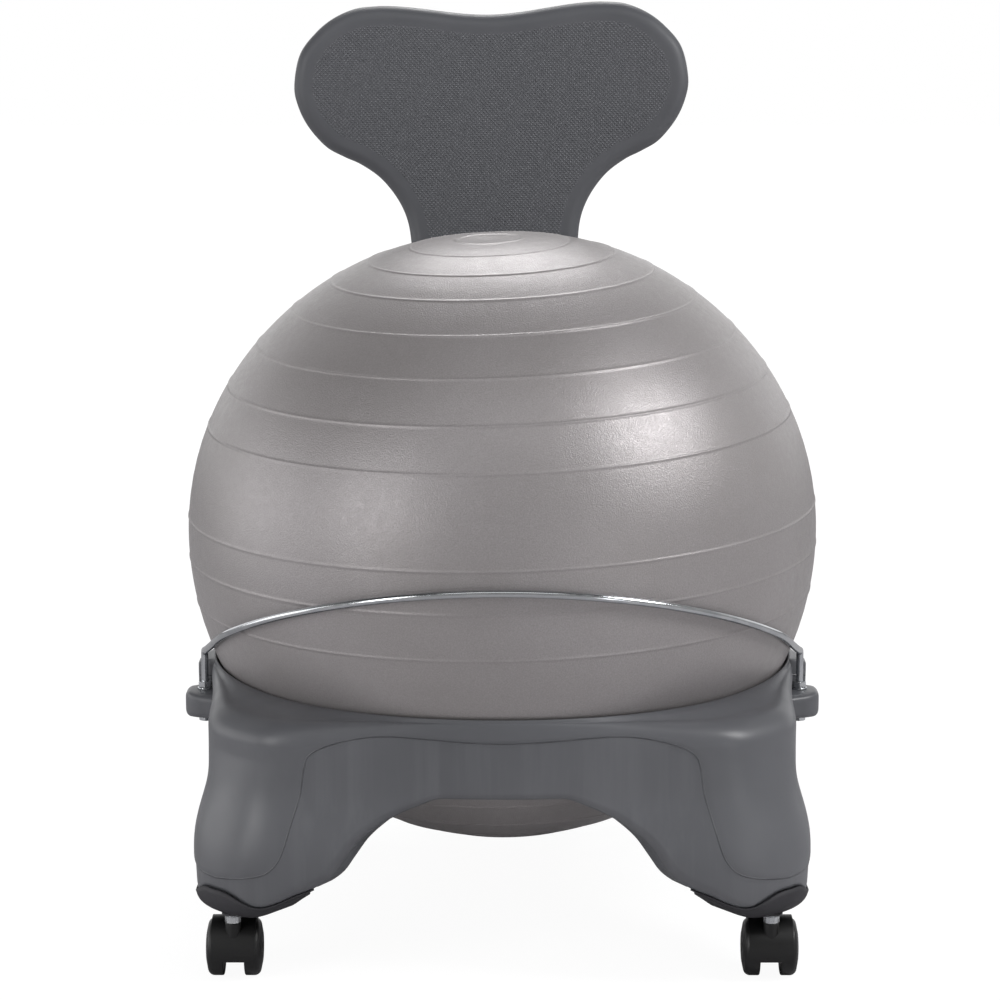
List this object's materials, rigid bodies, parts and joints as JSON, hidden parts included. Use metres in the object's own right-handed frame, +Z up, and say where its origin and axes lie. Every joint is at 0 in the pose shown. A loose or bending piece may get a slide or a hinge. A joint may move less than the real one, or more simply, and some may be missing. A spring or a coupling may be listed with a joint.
{
  "type": "balance ball chair",
  "caption": "Ball chair: a ribbed inflated ball in a moulded four-legged base on twin-wheel casters, with a steel retaining bar and a moulded backrest.",
  "frame": {"origin": "on the floor, under the middle of the chair's box", "axes": "+Z up, the sitter faces -Y with the backrest on the +Y side, and +X is on the right of a viewer who looks at the front"},
  "size_m": [0.554, 0.613, 0.7841],
  "materials": {
    "ball": "soft inflated vinyl, finely pebbled, satin",
    "base": "moulded, satin with a faint grain",
    "backrest": "moulded, satin, dotted on the front",
    "cap": "moulded, matt",
    "caster": "moulded, half gloss",
    "steel": "bright plated steel",
    "plug": "soft moulded plastic"
  },
  "bodies": {
    "base": {"base_shell": "base", "foot_cap_front_left": "cap", "foot_cap_front_right": "cap", "foot_cap_rear_left": "cap", "foot_cap_rear_right": "cap", "caster_sleeve_front_left": "cap", "caster_stem_front_left": "steel", "grip_ring_front_left": "steel", "caster_sleeve_front_right": "cap", "caster_stem_front_right": "steel", "grip_ring_front_right": "steel", "caster_sleeve_rear_left": "cap", "caster_stem_rear_left": "steel", "grip_ring_rear_left": "steel", "caster_sleeve_rear_right": "cap", "caster_stem_rear_right": "steel", "grip_ring_rear_right": "steel", "retaining_bar": "steel", "bar_washer_left": "steel", "bar_nut_upper_left": "steel", "bar_nut_lower_left": "steel", "bar_washer_right": "steel", "bar_nut_upper_right": "steel", "bar_nut_lower_right": "steel", "backrest_shell": "backrest", "backrest_bolt_left": "steel", "backrest_washer_left": "steel", "backrest_insert_left": "steel", "backrest_bolt_right": "steel", "backrest_washer_right": "steel", "backrest_insert_right": "steel"},
    "caster_front_left": {"caster_hood_front_left": "caster", "caster_axle_front_left": "steel"},
    "wheel_front_left_left": {"caster_wheel_front_left_left": "caster"},
    "wheel_front_left_right": {"caster_wheel_front_left_right": "caster"},
    "caster_front_right": {"caster_hood_front_right": "caster", "caster_axle_front_right": "steel"},
    "wheel_front_right_left": {"caster_wheel_front_right_left": "caster"},
    "wheel_front_right_right": {"caster_wheel_front_right_right": "caster"},
    "caster_rear_left": {"caster_hood_rear_left": "caster", "caster_axle_rear_left": "steel"},
    "wheel_rear_left_left": {"caster_wheel_rear_left_left": "caster"},
    "wheel_rear_left_right": {"caster_wheel_rear_left_right": "caster"},
    "caster_rear_right": {"caster_hood_rear_right": "caster", "caster_axle_rear_right": "steel"},
    "wheel_rear_right_left": {"caster_wheel_rear_right_left": "caster"},
    "wheel_rear_right_right": {"caster_wheel_rear_right_right": "caster"},
    "ball": {"ball_skin": "ball"},
    "plug": {"valve_plug": "plug"}
  },
  "joints": [
    {"name": "swivel_front_left", "type": "hinge", "parent": "base", "child": "caster_front_left", "pos_m": [-0.22299, -0.25209, 0.0506], "axis": [0, 0, 1], "continuous": true},
    {"name": "spin_front_left_left", "type": "hinge", "parent": "caster_front_left", "child": "wheel_front_left_left", "pos_m": [-0.22299, -0.23609, 0.024], "axis": [1, 0, 0], "continuous": true},
    {"name": "spin_front_left_right", "type": "hinge", "parent": "caster_front_left", "child": "wheel_front_left_right", "pos_m": [-0.22299, -0.23609, 0.024], "axis": [1, 0, 0], "continuous": true},
    {"name": "swivel_front_right", "type": "hinge", "parent": "base", "child": "caster_front_right", "pos_m": [0.22299, -0.25209, 0.0506], "axis": [0, 0, 1], "continuous": true},
    {"name": "spin_front_right_left", "type": "hinge", "parent": "caster_front_right", "child": "wheel_front_right_left", "pos_m": [0.22299, -0.23609, 0.024], "axis": [1, 0, 0], "continuous": true},
    {"name": "spin_front_right_right", "type": "hinge", "parent": "caster_front_right", "child": "wheel_front_right_right", "pos_m": [0.22299, -0.23609, 0.024], "axis": [1, 0, 0], "continuous": true},
    {"name": "swivel_rear_left", "type": "hinge", "parent": "base", "child": "caster_rear_left", "pos_m": [-0.22299, 0.20589, 0.0506], "axis": [0, 0, 1], "continuous": true},
    {"name": "spin_rear_left_left", "type": "hinge", "parent": "caster_rear_left", "child": "wheel_rear_left_left", "pos_m": [-0.22299, 0.22189, 0.024], "axis": [1, 0, 0], "continuous": true},
    {"name": "spin_rear_left_right", "type": "hinge", "parent": "caster_rear_left", "child": "wheel_rear_left_right", "pos_m": [-0.22299, 0.22189, 0.024], "axis": [1, 0, 0], "continuous": true},
    {"name": "swivel_rear_right", "type": "hinge", "parent": "base", "child": "caster_rear_right", "pos_m": [0.22299, 0.20589, 0.0506], "axis": [0, 0, 1], "continuous": true},
    {"name": "spin_rear_right_left", "type": "hinge", "parent": "caster_rear_right", "child": "wheel_rear_right_left", "pos_m": [0.22299, 0.22189, 0.024], "axis": [1, 0, 0], "continuous": true},
    {"name": "spin_rear_right_right", "type": "hinge", "parent": "caster_rear_right", "child": "wheel_rear_right_right", "pos_m": [0.22299, 0.22189, 0.024], "axis": [1, 0, 0], "continuous": true},
    {"name": "ball_lift", "type": "slide", "parent": "base", "child": "ball", "axis": [0, 0, 1], "range_m": [0, 0.18]},
    {"name": "plug_pull", "type": "slide", "parent": "ball", "child": "plug", "axis": [0.0302, 0, -0.9995], "range_m": [0, 0.02]}
  ]
}
